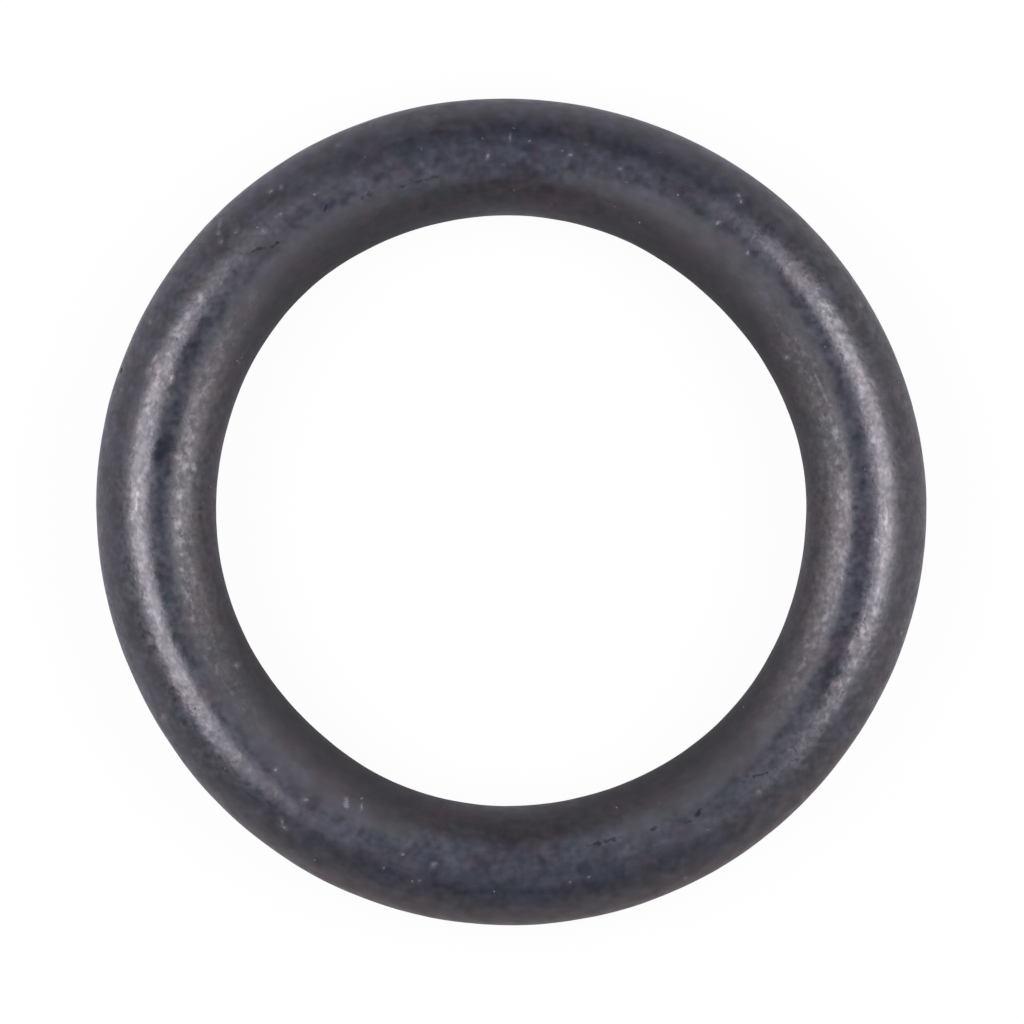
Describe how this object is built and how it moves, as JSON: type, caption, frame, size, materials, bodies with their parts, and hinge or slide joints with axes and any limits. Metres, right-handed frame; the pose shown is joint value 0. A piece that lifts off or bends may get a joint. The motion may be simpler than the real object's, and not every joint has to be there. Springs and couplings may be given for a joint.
{
  "type": "rubber o-ring",
  "caption": "Black rubber sealing ring of round section, lying flat. It goes into a groove and seals the joint between a shaft or spigot and its housing.",
  "frame": {"origin": "centre of the ring, halfway up its thickness", "axes": "+Z along the ring's axis, up from the surface that it lies on"},
  "size_m": [0.014, 0.014, 0.002],
  "materials": {
    "rubber": "satin black moulded rubber with a fine grain and specks of dust"
  },
  "bodies": {
    "root": {"o_ring": "rubber"}
  },
  "joints": []
}
